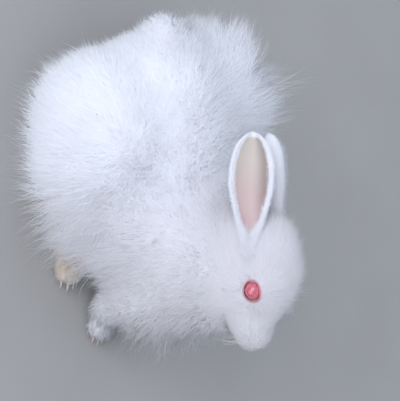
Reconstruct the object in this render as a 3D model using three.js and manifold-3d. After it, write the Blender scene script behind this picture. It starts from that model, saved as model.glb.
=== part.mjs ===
// A young white angora rabbit, life size, sitting with its head up and its ears laid back.
// Millimetres. +X is the way the body points, +Y its left, +Z up, and the floor is Z = 0.
// Every solid is the outline of the coat, out to the tips of the wool.
import * as THREE from "three";
import { mergeVertices } from "three/addons/utils/BufferGeometryUtils.js";
import Module from "manifold-3d";

const wasm = await Module();
wasm.setup();

// Driving sizes of the animal
const GAP = 0.3;
const WOOL_CLUMP = 26;
const WOOL_RELIEF = 2.2;
const BACK_HEIGHT = 136;
const HEAD_FORWARD = 102;
const EYE_HEIGHT = 155;
const HEAD_TURN = THREE.MathUtils.degToRad(-10);
const EYE_RADIUS = 8.5;
const EYE_SPREAD = 15;
const EYE_SET_BACK = 4;
const EAR_LENGTH = 90;
const EAR_WIDTH = 38;
const EAR_THICKNESS = 3;
const FOOT_SPREAD = 58;
const PAW_SPREAD = 33;
const CLAW_LENGTH = 6;
const CLAW_RADIUS = 1.3;
const CLAW_TIP_RADIUS = 0.4;
const CLAW_DIP = 0.35;

const WHITE_WOOL = { color: 0xe8ebf2, roughness: 0.95, metalness: 0 };
const WARM_WOOL = { color: 0xe9e6e8, roughness: 0.95, metalness: 0 };
const EAR_SKIN = { color: 0xdcc6c6, roughness: 0.8, metalness: 0 };
const FOOT_FUR = { color: 0xd9cbbb, roughness: 0.9, metalness: 0 };
const PINK_EYE = { color: 0xc4566a, roughness: 0.1, metalness: 0 };

// A rounded mass of flesh and wool: its middle and its three half-sizes.
const mass = (x, y, z, rx, ry, rz) => ({
  middle: new THREE.Vector3(x, y, z),
  half: new THREE.Vector3(rx, ry, rz),
});

// The same mass on the right side and on the left.
const pair = (x, y, z, rx, ry, rz) => [
  mass(x, -y, z, rx, ry, rz),
  mass(x, y, z, rx, ry, rz),
];

// How far a point is outside one mass, less than zero inside it.
function depthIn(point, { middle, half }) {
  const from = point.clone().sub(middle);
  const scaled = from.clone().divide(half);
  const reach = scaled.length();
  const slope = scaled.divide(half).length();
  return slope ? (reach * (reach - 1)) / slope : -half.x;
}

// How far a point is outside masses that run into each other over the width of a fillet.
function distanceTo(point, masses, fillet) {
  return masses.reduce((joined, each) => {
    const own = depthIn(point, each);
    const near = Math.max(fillet - Math.abs(joined - own), 0) / fillet;
    return Math.min(joined, own) - (near * near * fillet) / 4;
  }, Infinity);
}

// The gentle lumps that locks of wool make on the outline.
function woolLumps(point, relief) {
  const turn = (2 * Math.PI) / WOOL_CLUMP;
  const along = Math.sin(turn * (point.x + 0.4 * point.z));
  const across = Math.sin(turn * (point.y - 0.3 * point.x) + 1);
  const up = Math.sin(turn * (point.z + 0.5 * point.y) + 2);
  return (relief * (along * across + across * up + up * along)) / 1.5;
}

// A closed skin over masses: a ball whose points move out from its heart until they are clear of them.
const FARTHEST = 260;
const FINEST = 0.005;

function formOver(masses, { heart, fillet, detail, relief = 0, grow = 0 }) {
  const ball = new THREE.IcosahedronGeometry(1, detail);
  const points = ball.getAttribute("position");
  const ray = new THREE.Vector3();
  const place = new THREE.Vector3();
  for (let i = 0; i < points.count; i++) {
    ray.fromBufferAttribute(points, i).normalize();
    let inside = 0;
    let outside = FARTHEST;
    while (outside - inside > FINEST) {
      const middle = (inside + outside) / 2;
      place.copy(ray).multiplyScalar(middle).add(heart);
      if (distanceTo(place, masses, fillet) < grow) inside = middle;
      else outside = middle;
    }
    place.addScaledVector(ray, woolLumps(place, relief));
    points.setXYZ(i, place.x, place.y, place.z);
  }
  return ball;
}

// Geometry to solid, for cutting and joining, and back again.
function solidOf(geometry) {
  const bare = new THREE.BufferGeometry();
  bare.setAttribute("position", geometry.getAttribute("position"));
  if (geometry.index) bare.setIndex(geometry.index);
  const merged = mergeVertices(bare, 1e-3);
  const vertProperties = merged.getAttribute("position").array;
  const triVerts = new Uint32Array(merged.index.array);
  return new wasm.Manifold(new wasm.Mesh({ numProp: 3, vertProperties, triVerts }));
}

function geometryOf(solid) {
  const { vertProperties, triVerts } = solid.getMesh();
  const geometry = new THREE.BufferGeometry();
  geometry.setAttribute("position", new THREE.BufferAttribute(vertProperties, 3));
  geometry.setIndex(new THREE.BufferAttribute(triVerts, 1));
  geometry.computeVertexNormals();
  return geometry;
}

const biggestOf = (solid) =>
  solid.decompose().reduce((most, each) => (each.volume() > most.volume() ? each : most));
const onFloor = (solid) => solid.trimByPlane([0, 0, 1], 0);

// A flat cut right through: the side the normal points to, and the side behind it.
function partAt(solid, point, normal) {
  const n = normal.clone().normalize();
  const offset = n.dot(point);
  const ahead = solid.trimByPlane(n.toArray(), offset + GAP / 2);
  const behind = solid.trimByPlane(n.clone().negate().toArray(), GAP / 2 - offset);
  return [ahead, behind];
}

// Wool of the body
const BODY_MASSES = {
  back: mass(-4, 2, BACK_HEIGHT - 64, 88, 62, 60),
  haunchRight: mass(-22, -48, 56, 74, 64, 60),
  haunchLeft: mass(-42, 46, 70, 67, 50, 74),
  rump: mass(-40, 0, 66, 60, 54, 60),
  skirtRight: mass(26, -50, 38, 50, 50, 42),
  skirtLeft: mass(22, 46, 38, 50, 46, 42),
  breast: mass(88, -2, 62, 63, 54, 62),
  shoulders: mass(62, 4, 104, 50, 44, 40),
  ruffRight: mass(102, -22, 108, 37, 26, 34),
  ruffLeft: mass(102, 16, 108, 37, 26, 34),
};
const bodyForm = (grow) =>
  formOver(Object.values(BODY_MASSES), {
    heart: new THREE.Vector3(8, 0, 74),
    fillet: 16,
    detail: 8,
    relief: WOOL_RELIEF,
    grow,
  });
const bodyWool = solidOf(bodyForm(0));
const bodyClear = solidOf(bodyForm(GAP));

// Head, in its own frame: the middle between the eyes is the origin, and the muzzle points to +X
const HEAD_MASSES = {
  skull: mass(-22, 0, 1, 28, 24, 24),
  poll: mass(-34, 0, 6, 24, 21, 20),
  forehead: mass(0, 0, -3, 24, 17, 14),
  bridge: mass(10, 0, -9, 30, 16, 13),
  muzzle: mass(28, 0, -13, 16.5, 14, 12.5),
  chin: mass(20, 0, -26.5, 14, 9, 7),
  throat: mass(-2, 0, -23.5, 28, 14, 13),
  midFace: pair(8, 8, -13, 22, 11.5, 14),
  whiskerPads: pair(25, 7.5, -15.5, 14, 9, 9),
  brows: pair(-6, 9.5, 1, 17, 11.5, 13),
  cheeks: pair(-8, 11, -18, 25, 13, 19),
  jowls: pair(-26, 16, -22, 23, 15, 22),
};
const headPlace = new THREE.Matrix4()
  .makeTranslation(HEAD_FORWARD, 0, EYE_HEIGHT)
  .multiply(new THREE.Matrix4().makeRotationZ(HEAD_TURN));
const headForm = (grow) =>
  formOver(Object.values(HEAD_MASSES).flat(), {
    heart: new THREE.Vector3(-12, 0, -8),
    fillet: 8,
    detail: 7,
    grow,
  }).applyMatrix4(headPlace);
const headSolid = solidOf(headForm(0));
const headClear = solidOf(headForm(GAP));

// Eyes: balls in sockets, a little proud of the short fur round them
function eyeBall(side, radius) {
  const ball = new THREE.IcosahedronGeometry(radius, 2);
  ball.translate(-EYE_SET_BACK, side * EYE_SPREAD, 0);
  return solidOf(ball.applyMatrix4(headPlace));
}

// Ears: each one a leaf that rolls into a tube at its root.
// Its own frame: +X from root to tip, +Z out of the opening.
const EAR_STATIONS = 14;
const EAR_ARC_STEPS = 6;
const EAR_TIP_CROWDING = 1.35;
const LAST_STATION = 0.995;
const TIP_WIDTH = 2;
const TUBE_SHARE = 0.34;
const TUBE_ROLL = THREE.MathUtils.degToRad(140);
const LEAF_ROLL = THREE.MathUtils.degToRad(62);
const RIM_THINNING = 0.55;

// The ear's width at a share of its length, in shares of the greatest width.
function leafWidth(t) {
  const opening = THREE.MathUtils.smoothstep(t, 0, 0.6);
  const tip = Math.max(0, (t - 0.6) / 0.4);
  return (TUBE_SHARE + (1 - TUBE_SHARE) * opening) * Math.sqrt(1 - Math.pow(tip, 2.4));
}

function earLeaf(axis) {
  const points = [];
  const faces = [];
  const ring = 2 * (EAR_ARC_STEPS + 1);
  for (let i = 0; i < EAR_STATIONS; i++) {
    const t = 1 - Math.pow(1 - i / (EAR_STATIONS - 1), EAR_TIP_CROWDING);
    const width = Math.max(EAR_WIDTH * leafWidth(Math.min(t, LAST_STATION)), TIP_WIDTH);
    const open = THREE.MathUtils.smoothstep(t, 0, 0.45);
    const roll = TUBE_ROLL + (LEAF_ROLL - TUBE_ROLL) * open;
    const radius = width / 2 / Math.sin(Math.min(roll, Math.PI / 2));
    const thickness = Math.min(EAR_THICKNESS, width / 3);
    const at = axis.getPoint(t);
    for (let j = 0; j < ring; j++) {
      const back = j <= EAR_ARC_STEPS;
      const step = back ? j : ring - 1 - j;
      const share = (2 * step) / EAR_ARC_STEPS - 1;
      const angle = share * roll;
      const rim = Math.pow(Math.abs(share), 6);
      const inset = back ? 0 : thickness * (1 - RIM_THINNING * rim);
      const reach = radius - inset;
      points.push(at.x, at.y + reach * Math.sin(angle), at.z + radius - reach * Math.cos(angle));
    }
  }
  for (let i = 0; i < EAR_STATIONS - 1; i++) {
    for (let j = 0; j < ring; j++) {
      const a = i * ring + j;
      const b = i * ring + ((j + 1) % ring);
      faces.push(a, b, a + ring, b, b + ring, a + ring);
    }
  }
  const last = (EAR_STATIONS - 1) * ring;
  for (let j = 0; j < ring / 2 - 1; j++) {
    const [a, b, c, d] = [j, j + 1, ring - 2 - j, ring - 1 - j];
    faces.push(a, c, b, a, d, c);
    faces.push(last + a, last + b, last + c, last + a, last + c, last + d);
  }
  const leaf = new THREE.BufferGeometry();
  leaf.setAttribute("position", new THREE.Float32BufferAttribute(points, 3));
  leaf.setIndex(faces);
  return leaf;
}

// side is -1 on the right and 1 on the left; facing is how far the opening looks up from level,
// splay and rise how far the tip leads away from the middle and up.
const EAR_ROOT_BACK = 31;

function ear(side, { out, height, facing, splay, rise }) {
  const axis = new THREE.CatmullRomCurve3([
    new THREE.Vector3(0, 0, 3),
    new THREE.Vector3(EAR_LENGTH * 0.3, 0, 0),
    new THREE.Vector3(EAR_LENGTH * 0.65, 0, -1),
    new THREE.Vector3(EAR_LENGTH, 0, 4),
  ]);
  const tilt = THREE.MathUtils.degToRad(facing);
  const along = new THREE.Vector3(-1, side * splay, rise).normalize();
  const opening = new THREE.Vector3(0, side * Math.cos(tilt), Math.sin(tilt));
  const across = new THREE.Vector3().crossVectors(opening, along).normalize();
  opening.crossVectors(along, across);
  const turn = new THREE.Matrix4().makeBasis(along, across, opening);
  turn.setPosition(-EAR_ROOT_BACK, side * out, height);
  return solidOf(earLeaf(axis).applyMatrix4(turn).applyMatrix4(headPlace));
}

// Feet: a sole, a row of four toes whose middle two reach farthest, and a claw on each toe
const TOE_STEPS = [-1.5, -0.5, 0.5, 1.5];
const HIND_TOES = { x: 79, z: 7, bow: 2, pitch: 6.2, half: [10, 4.4, 7.6], clawAt: [10.5, -1] };
const FORE_TOES = { x: 131, z: 6.4, bow: 1.6, pitch: 5, half: [7.5, 3.6, 7], clawAt: [8, -1.4] };
const FOOT_FORM = { fillet: 4, detail: 4 };

const toesOf = ({ x, z, bow, pitch, half }, y) =>
  TOE_STEPS.map((step) => mass(x - bow * step * step, y + pitch * step, z, ...half));

function claw({ x, y, z }, [ahead, above]) {
  const cone = new THREE.CylinderGeometry(CLAW_TIP_RADIUS, CLAW_RADIUS, CLAW_LENGTH, 5);
  cone.rotateZ(-Math.PI / 2 - CLAW_DIP);
  return solidOf(cone.translate(x + ahead, y, z + above));
}

function footOf(masses, toes, { clawAt }, heart) {
  const foot = solidOf(formOver([...masses, ...toes], { ...FOOT_FORM, heart }));
  const clawed = toes.reduce((sum, { middle }) => sum.add(claw(middle, clawAt)), foot);
  return onFloor(clawed);
}

function hindFoot(side) {
  const y = side * FOOT_SPREAD;
  const hock = mass(22, y, 14, 26, 13, 15);
  const sole = mass(58, y, 9, 28, 12.5, 10);
  const heart = new THREE.Vector3(62, y, 8);
  return footOf([hock, sole], toesOf(HIND_TOES, y), HIND_TOES, heart);
}

function foreLeg(side) {
  const y = side * PAW_SPREAD;
  const shin = mass(108, y, 40, 15, 15, 30);
  const wrist = mass(113, y, 18, 15, 13.5, 17);
  const paw = mass(123, y, 8.5, 14, 11, 9.5);
  const heart = new THREE.Vector3(115, y, 14);
  return footOf([shin, wrist, paw], toesOf(FORE_TOES, y), FORE_TOES, heart);
}

// The tail: a short brush turned up against the rump
const TAIL_MASSES = {
  root: mass(-94, 9, 72, 14, 12, 12),
  tip: mass(-101, 12, 82, 10, 9, 12),
};
const tailBrush = solidOf(
  formOver(Object.values(TAIL_MASSES), {
    heart: new THREE.Vector3(-97, 10, 76),
    fillet: 6,
    detail: 2,
    relief: 1,
  }),
);

// The whole coat is parted by thin cuts into head, neck, breast, trunk, rump and thighs.
const HEAD_CUT = new THREE.Vector3(50, 4, 146);
const NECK_CUT = new THREE.Vector3(50, 4, 118);
const NAPE_LEAN = new THREE.Vector3(0.42, -0.06, 0.9);
const BREAST_CUT = new THREE.Vector3(52, 0, 0);
const BREAST_LEAN = new THREE.Vector3(1, 0, -0.15);
const RUMP_CUT = new THREE.Vector3(-58, 0, 80);
const RUMP_LEAN = new THREE.Vector3(1, 0, 0.2);
const THIGH_MIDDLE = new THREE.Vector3(-26, 86, 44);
const THIGH_HALF = new THREE.Vector3(56, 62, 62);

const whole = onFloor(bodyWool.add(headSolid));
const [headBlock, belowHead] = partAt(whole, HEAD_CUT, NAPE_LEAN);
const [neck, torso] = partAt(belowHead, NECK_CUT, NAPE_LEAN);
const [breast, hinder] = partAt(torso, BREAST_CUT, BREAST_LEAN);

// A thigh is what an egg round the haunch takes out of the flank.
function eggAt(side, grow) {
  const egg = new THREE.IcosahedronGeometry(1, 3);
  egg.scale(THIGH_HALF.x + grow, THIGH_HALF.y + grow, THIGH_HALF.z + grow);
  return solidOf(egg.translate(THIGH_MIDDLE.x, side * THIGH_MIDDLE.y, THIGH_MIDDLE.z));
}
const thighs = [-1, 1].map((side) => hinder.intersect(eggAt(side, 0)));
const flank = [-1, 1].reduce((rest, side) => rest.subtract(eggAt(side, GAP)), hinder);
const [trunk, rump] = partAt(flank, RUMP_CUT, RUMP_LEAN);

const rightEar = ear(-1, { out: 16, height: -5, facing: 40, splay: 0.05, rise: 0.09 });
const leftEar = ear(1, { out: 8.5, height: -8.5, facing: 22, splay: -0.1, rise: 0.035 });
const sockets = eyeBall(-1, EYE_RADIUS + GAP).add(eyeBall(1, EYE_RADIUS + GAP));
const coatClear = bodyClear.add(headClear);
const outside = (solid) => solid.subtract(coatClear);

const pieces = [
  ["head", headBlock.subtract(sockets), WARM_WOOL],
  ["neck", neck, WARM_WOOL],
  ["breast", breast, WARM_WOOL],
  ["trunk", trunk, WHITE_WOOL],
  ["rump", rump, WHITE_WOOL],
  ["thigh_right", thighs[0], WHITE_WOOL],
  ["thigh_left", thighs[1], WHITE_WOOL],
  ["tail", outside(tailBrush), WHITE_WOOL],
  ["hind_foot_right", outside(hindFoot(-1)), FOOT_FUR],
  ["hind_foot_left", outside(hindFoot(1)), FOOT_FUR],
  ["fore_leg_right", outside(foreLeg(-1)), WHITE_WOOL],
  ["fore_leg_left", outside(foreLeg(1)), WHITE_WOOL],
  ["ear_right", outside(rightEar), EAR_SKIN],
  ["ear_left", outside(leftEar), EAR_SKIN],
  ["eye_right", eyeBall(-1, EYE_RADIUS), PINK_EYE],
  ["eye_left", eyeBall(1, EYE_RADIUS), PINK_EYE],
];

const rabbit = new THREE.Group();
for (const [name, solid, finish] of pieces) {
  const material = new THREE.MeshStandardMaterial(finish);
  const mesh = new THREE.Mesh(geometryOf(biggestOf(solid)), material);
  mesh.name = name;
  rabbit.add(mesh);
}

// The middle of the floor under the whole rabbit becomes the origin.
const bounds = new THREE.Box3().setFromObject(rabbit);
const middle = bounds.getCenter(new THREE.Vector3());
rabbit.position.set(-middle.x, -middle.y, -bounds.min.z);

export default rabbit;
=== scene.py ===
import math

import bpy
import numpy as np
from mathutils import Matrix, Vector
from mathutils.bvhtree import BVHTree
from mathutils.kdtree import KDTree


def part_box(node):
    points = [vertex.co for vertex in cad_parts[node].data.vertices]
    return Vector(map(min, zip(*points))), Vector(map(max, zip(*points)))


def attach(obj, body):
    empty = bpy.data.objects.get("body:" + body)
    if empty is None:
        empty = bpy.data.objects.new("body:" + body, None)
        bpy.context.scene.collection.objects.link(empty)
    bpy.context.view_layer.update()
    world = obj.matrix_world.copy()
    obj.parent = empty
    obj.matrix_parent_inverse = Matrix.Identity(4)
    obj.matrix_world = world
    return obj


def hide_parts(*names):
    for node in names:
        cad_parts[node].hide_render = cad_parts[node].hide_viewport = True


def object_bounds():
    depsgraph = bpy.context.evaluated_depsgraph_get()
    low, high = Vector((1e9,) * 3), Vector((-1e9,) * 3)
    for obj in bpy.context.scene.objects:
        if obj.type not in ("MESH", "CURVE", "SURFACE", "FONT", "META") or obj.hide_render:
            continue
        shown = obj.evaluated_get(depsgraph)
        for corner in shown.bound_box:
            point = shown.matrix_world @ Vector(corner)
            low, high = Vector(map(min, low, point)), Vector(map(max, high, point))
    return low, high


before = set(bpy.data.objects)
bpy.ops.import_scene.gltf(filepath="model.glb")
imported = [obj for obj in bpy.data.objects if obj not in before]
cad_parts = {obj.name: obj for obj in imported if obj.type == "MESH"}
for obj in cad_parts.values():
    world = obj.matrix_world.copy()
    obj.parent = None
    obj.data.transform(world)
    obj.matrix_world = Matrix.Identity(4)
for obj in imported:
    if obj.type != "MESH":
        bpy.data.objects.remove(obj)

cad_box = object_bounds()


# Where the rabbit is: sizes below are millimetres in the rabbit's own frame, +X the way its body points,
# +Y its left, the floor at Z = 0. The head has a frame of its own between the eyes, turned to its right.
# The ball of the right eye in the solids ties both frames to the model.
HEAD_TURN = math.radians(-10)
HEAD_PLACE = np.array([102.0, 0.0, 155.0])
EYE_SET_BACK = 4.0
EYE_SPREAD = 15.0
EYE_RADIUS = 8.5
HEAD_AXES = np.array([[math.cos(HEAD_TURN), math.sin(HEAD_TURN), 0],
                      [-math.sin(HEAD_TURN), math.cos(HEAD_TURN), 0],
                      [0, 0, 1]])


def of_head(points):
    """From the head's frame to the rabbit's."""
    return np.asarray(points, float) @ HEAD_AXES + HEAD_PLACE


def in_head(points):
    """From the rabbit's frame to the head's."""
    return (np.asarray(points, float) - HEAD_PLACE) @ HEAD_AXES.T


eye_box = np.array(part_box("eye_right")) * 1000
ORIGIN = eye_box.mean(0) - of_head([-EYE_SET_BACK, -EYE_SPREAD, 0])


def to_model(points):
    """From the rabbit's frame in millimetres to the model's in metres."""
    return (np.asarray(points, float) + ORIGIN) * 0.001


# The camera looks down on the rabbit's right side. It is held on its side, as the photo was taken, so that
# the rabbit's up is the picture's right.
VIEW_AZIMUTH = math.radians(-10)
VIEW_ELEVATION = math.radians(42)
VIEW_DISTANCE = 1.15
PIXELS_PER_MM = 1.3
PICTURE_WIDTH = 400
SENSOR_WIDTH = 36
AIM_POINT = (10, -4, 70)
AIM_UP = 0.0262
AIM_ACROSS = 0.0204
view_back = Vector((math.sin(VIEW_AZIMUTH) * math.cos(VIEW_ELEVATION),
                    -math.cos(VIEW_AZIMUTH) * math.cos(VIEW_ELEVATION),
                    math.sin(VIEW_ELEVATION)))
view_right = Vector((math.cos(VIEW_AZIMUTH), math.sin(VIEW_AZIMUTH), 0))
view_up = view_back.cross(view_right)
aim = Vector(to_model(AIM_POINT)) + view_up * AIM_UP + view_right * AIM_ACROSS
camera = bpy.data.objects.new("camera", bpy.data.cameras.new("camera"))
camera.data.sensor_fit = "HORIZONTAL"
camera.data.sensor_width = SENSOR_WIDTH
camera.data.lens = PIXELS_PER_MM * VIEW_DISTANCE * 1000 / PICTURE_WIDTH * SENSOR_WIDTH
turned = Matrix((view_up, -view_right, view_back)).transposed().to_4x4()
camera.matrix_world = Matrix.Translation(aim + view_back * VIEW_DISTANCE) @ turned
bpy.context.scene.collection.objects.link(camera)
bpy.context.scene.camera = camera


# The room: a plain floor under matt paint, lit by a pale sky all round and three soft boxes, the largest on
# the rabbit's right. Sky, key and rim light are a little cool, as open shade is, and the fill is warm.
def srgb(code):
    """The linear colour of an sRGB hex value."""
    channels = [int(code[i:i + 2], 16) / 255 for i in (1, 3, 5)]
    return [c / 12.92 if c <= 0.04045 else ((c + 0.055) / 1.055) ** 2.4 for c in channels] + [1.0]


def node(tree, kind, inputs=None, **settings):
    """Adds a node with its settings. An input that is a socket is linked, any other value is set."""
    made = tree.nodes.new(kind)
    for name, value in settings.items():
        setattr(made, name, value)
    for name, value in (inputs or {}).items():
        if isinstance(value, bpy.types.NodeSocket):
            tree.links.new(value, made.inputs[name])
        else:
            made.inputs[name].default_value = value
    return made


def material_of(name):
    """A new material, its node tree and its shader."""
    made = bpy.data.materials.new(name)
    made.use_nodes = True
    tree = made.node_tree
    return made, tree, tree.nodes["Principled BSDF"]


def mesh_object(name, points, faces):
    """An object at the origin, its points in the model's frame, from arrays of points and of faces."""
    mesh = bpy.data.meshes.new(name)
    sides = faces.shape[1]
    mesh.vertices.add(len(points))
    mesh.vertices.foreach_set("co", np.asarray(points, np.float32).ravel())
    mesh.loops.add(faces.size)
    mesh.loops.foreach_set("vertex_index", faces.astype(np.int32).ravel())
    mesh.polygons.add(len(faces))
    mesh.polygons.foreach_set("loop_start", np.arange(0, faces.size, sides, dtype=np.int32))
    mesh.update(calc_edges=True)
    mesh.shade_smooth()
    made = bpy.data.objects.new(name, mesh)
    bpy.context.scene.collection.objects.link(made)
    return made


FLOOR_HALF = 3.0
SKY_STRENGTH = 0.74
LIGHTS_AIM = Vector((0, 0, 0.07))
floor = mesh_object("floor", FLOOR_HALF * np.array([[-1, -1, 0], [1, -1, 0], [1, 1, 0], [-1, 1, 0]]),
                    np.array([[0, 1, 2, 3]]))
# Matt emulsion paint: no gloss, faintly mottled by the roller.
floor_paint, tree, shader = material_of("matt_floor_paint")
speckle = node(tree, "ShaderNodeTexNoise", {"Scale": 60.0, "Detail": 4.0})
tone = node(tree, "ShaderNodeMix", {"Factor": speckle.outputs["Fac"], "A": srgb("#A9A8A6"),
                                    "B": srgb("#B4B3B1")}, data_type="RGBA")
tree.links.new(tone.outputs[2], shader.inputs["Base Color"])
shader.inputs["Roughness"].default_value = 0.9
floor.data.materials.append(floor_paint)

bpy.context.scene.world = bpy.data.worlds.new("studio")
bpy.context.scene.world.use_nodes = True
sky = bpy.context.scene.world.node_tree.nodes["Background"]
sky.inputs["Color"].default_value = srgb("#DCE4F2")
sky.inputs["Strength"].default_value = SKY_STRENGTH
bpy.context.scene.view_settings.view_transform = "Standard"


def soft_box(name, place, size, watts, colour):
    light = bpy.data.lights.new(name, "AREA")
    light.size = size
    light.energy = watts
    light.color = srgb(colour)[:3]
    lamp = bpy.data.objects.new(name, light)
    lamp.location = place
    lamp.rotation_euler = (LIGHTS_AIM - Vector(place)).to_track_quat("-Z", "Y").to_euler()
    bpy.context.scene.collection.objects.link(lamp)


soft_box("key_light", (-0.9, -1.5, 0.95), 1.6, 25, "#F6F8FF")
soft_box("fill_light", (1.4, -0.9, 0.8), 1.4, 2.5, "#FFF8F0")
soft_box("rim_light", (0.1, 1.4, 1.1), 1.2, 1.8, "#EEF3FF")


# The skin: one surface from muzzle to tail and toes, without its seams, as deep inside the solids as the
# coat is long. It is worked out from rounded masses of flesh that run into each other over the fillets. Each
# mass is its middle and its three half sizes, in millimetres.
FLESH_FILLET = 22
FOOT_FILLET = 3.5
HEAD_FILLET = 7
HOLLOW_FILLET = 1
LIMB_JOIN = 8
NECK_JOIN = 6
SOLE_HEIGHT = 0.3
SOCKET_CLEARANCE = 0.4
FLESH = {
    "barrel": (0, 0, 60, 78, 42, 44),
    "loins": (-40, 2, 66, 46, 34, 42),
    "haunch_right": (-31, -44, 48, 52, 34, 44),
    "haunch_left": (-44, 42, 56, 50, 34, 52),
    "rump": (-56, 0, 58, 36, 32, 40),
    "belly": (12, 0, 30, 58, 30, 25),
    "breast": (70, 0, 58, 32, 29, 42),
    "shoulder_right": (62, -22, 66, 26, 16, 34),
    "shoulder_left": (62, 22, 66, 26, 16, 34),
    "neck": (80, 0, 108, 24, 21, 34),
    "ruff_right": (96, -13, 108, 25, 16, 25),
    "ruff_left": (96, 9, 108, 25, 16, 25),
    "tail": (-94, 9, 72, 12, 7, 8),
}
FEET = {}
for side, name in ((-1, "right"), (1, "left")):
    FLESH |= {
        "shank_" + name: (-2, side * 46, 26, 28, 13, 18),
        "upper_arm_" + name: (94, side * 28, 66, 16, 12, 26),
        "shin_" + name: (107, side * 32, 42, 11.5, 11.5, 26),
    }
    FEET |= {
        "hock_" + name: (22, side * 58, 13, 23, 10.5, 11.5),
        "sole_" + name: (58, side * 58, 8.8, 25, 10.6, 8.4),
        "wrist_" + name: (113, side * 33, 18, 12.5, 11, 15),
        "paw_" + name: (123, side * 33, 8.4, 11.5, 9, 7.8),
    }
TOE_STEPS = (-1.5, -0.5, 0.5, 1.5)
TOES = [(79 - 2 * s * s, side * 58 + 6.2 * s, 6.6, 8.6, 3.2, 6) for side in (-1, 1) for s in TOE_STEPS]
TOES += [(131 - 1.6 * s * s, side * 33 + 5 * s, 6, 6.2, 2.6, 5.4) for side in (-1, 1) for s in TOE_STEPS]


def both_sides(x, y, z, *half):
    """A mass and its mirror image on the right and the left of the head."""
    return [(x, -y, z, *half), (x, y, z, *half)]


HEAD = [
    (-20, 0, -1, 24, 18.5, 18.5),  # skull
    (-32, 0, 1, 18, 15, 14),  # poll
    (0, 0, -4.5, 22, 14, 12.5),  # forehead
    (10, 0, -10, 28, 13, 11),  # bridge of the nose
    (28, 0, -13.5, 14.5, 11, 10),  # muzzle
    (20, 0, -26, 11.5, 7, 5),  # chin
    (-2, 0, -23.5, 24, 12, 11),  # throat
    *both_sides(8, 7, -14, 20, 9.5, 12),  # sides of the face
    *both_sides(26, 6.5, -16, 12, 7.5, 7.5),  # whisker pads
    *both_sides(-6, 9, 0.5, 15, 9.5, 11),  # brows
    *both_sides(-8, 10, -18, 20, 11, 15),  # cheeks
    *both_sides(-26, 13, -20, 18, 12, 16),  # jowls
]
NOSTRILS = both_sides(42.5, 3.6, -9.2, 2.4, 2.0, 0.9)
LIP_CLEFT = (43, 0, -16, 2.6, 0.7, 5.5)
MOUTH = (34, 0, -22.4, 10, 9, 0.8)


def distance(points, masses, fillet):
    """How far points are outside masses that run into each other over the width of a fillet."""
    nearest = np.full(len(points), np.inf, np.float32)
    for mass in masses:
        half = np.array(mass[3:], np.float32)
        scaled = (points - np.array(mass[:3], np.float32)) / half
        reach = np.sqrt(np.einsum("ij,ij->i", scaled, scaled))
        scaled /= half
        slope = np.sqrt(np.einsum("ij,ij->i", scaled, scaled)) + 1e-9
        own = reach * (reach - 1) / slope
        near = np.maximum(fillet - np.abs(np.minimum(nearest, 1e6) - own), 0) / fillet
        nearest = np.minimum(nearest, own) - near * near * fillet / 4
    return nearest


def flesh_parts(points):
    """How far points are outside the body, the feet and the head with its nostrils, mouth and sockets."""
    body = distance(points, FLESH.values(), FLESH_FILLET)
    limbs = distance(points, [*FEET.values(), *TOES], FOOT_FILLET)
    head_points = in_head(points).astype(np.float32)
    head = distance(head_points, HEAD, HEAD_FILLET)
    hollows = distance(head_points, [*NOSTRILS, LIP_CLEFT, MOUTH], HOLLOW_FILLET)
    head = np.maximum(head, -hollows)
    for side in (-1, 1):
        eye_middle = np.array([-EYE_SET_BACK, side * EYE_SPREAD, 0], np.float32)
        from_eye = np.linalg.norm(head_points - eye_middle, axis=1)
        head = np.maximum(head, EYE_RADIUS - SOCKET_CLEARANCE - from_eye)
    return body, limbs, head


def joined(a, b, fillet):
    """Two distances run into each other over the width of a fillet."""
    near = np.maximum(fillet - np.abs(a - b), 0) / fillet
    return np.minimum(a, b) - near * near * fillet / 4


def surface_net(xs, ys, zs, field):
    """The surface where a field on a grid is zero: a corner in each cell it crosses, a face on each edge."""
    axes, cells = (xs, ys, zs), [len(a) - 1 for a in (xs, ys, zs)]
    faces, spots, owners = [], [], []
    for axis in range(3):
        low = tuple(slice(None, -1) if n == axis else slice(None) for n in range(3))
        high = tuple(slice(1, None) if n == axis else slice(None) for n in range(3))
        index = np.array(np.nonzero((field[low] < 0) != (field[high] < 0)))
        u, v = [n for n in range(3) if n != axis]
        index = index[:, (index[u] > 0) & (index[v] > 0) & (index[u] < cells[u]) & (index[v] < cells[v])]
        ahead = index.copy()
        ahead[axis] += 1
        a, b = field[tuple(index)], field[tuple(ahead)]
        spot = np.stack([axes[n][index[n]] for n in range(3)], -1).astype(float)
        spot[:, axis] += a / (a - b) * (axes[axis][ahead[axis]] - axes[axis][index[axis]])
        corners = []
        for back_u, back_v in ((0, 0), (1, 0), (1, 1), (0, 1)):
            cell = index.copy()
            cell[u] -= back_u
            cell[v] -= back_v
            corners.append(np.ravel_multi_index(cell, cells))
            spots.append(spot)
            owners.append(corners[-1])
        quad = np.stack(corners, -1)
        turn = (a >= 0) ^ (axis == 1)
        quad[turn] = quad[turn][:, ::-1]
        faces.append(quad)
    owners, spots, faces = np.concatenate(owners), np.concatenate(spots), np.concatenate(faces)
    used, place = np.unique(owners, return_inverse=True)
    count = np.bincount(place)
    points = np.stack([np.bincount(place, spots[:, n]) / count for n in range(3)], -1)
    return points, np.searchsorted(used, faces)


COARSE = 3.0
FINE = 0.9
FINEST = 0.5
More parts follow.
